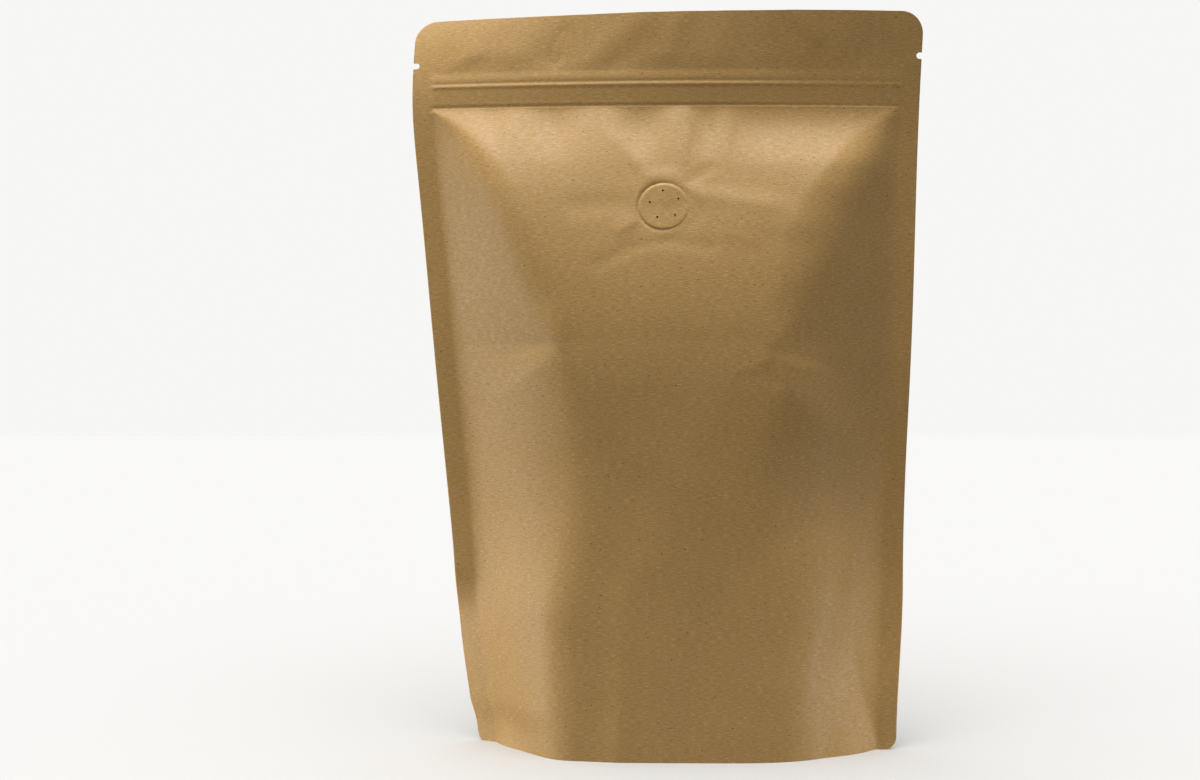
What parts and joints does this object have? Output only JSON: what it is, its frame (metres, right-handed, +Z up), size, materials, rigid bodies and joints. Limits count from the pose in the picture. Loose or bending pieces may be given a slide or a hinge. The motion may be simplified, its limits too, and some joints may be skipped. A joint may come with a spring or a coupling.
{
  "type": "kraft coffee bag with valve",
  "caption": "Filled stand-up pouch of brown kraft paper, shut by a press zip under a flat top band, with a round degassing valve in its front.",
  "frame": {"origin": "on the floor under the middle of the pouch's box", "axes": "+Z up, front with the valve towards -Y, +X to the right seen from the front"},
  "size_m": [0.1934, 0.0648, 0.2745],
  "materials": {
    "kraft": "matt brown kraft paper with a slight sheen and fine fibres",
    "kraft_disc": "the same kraft paper pressed flat over the valve"
  },
  "bodies": {
    "root": {"pouch": "kraft", "valve": "kraft_disc"}
  },
  "joints": []
}
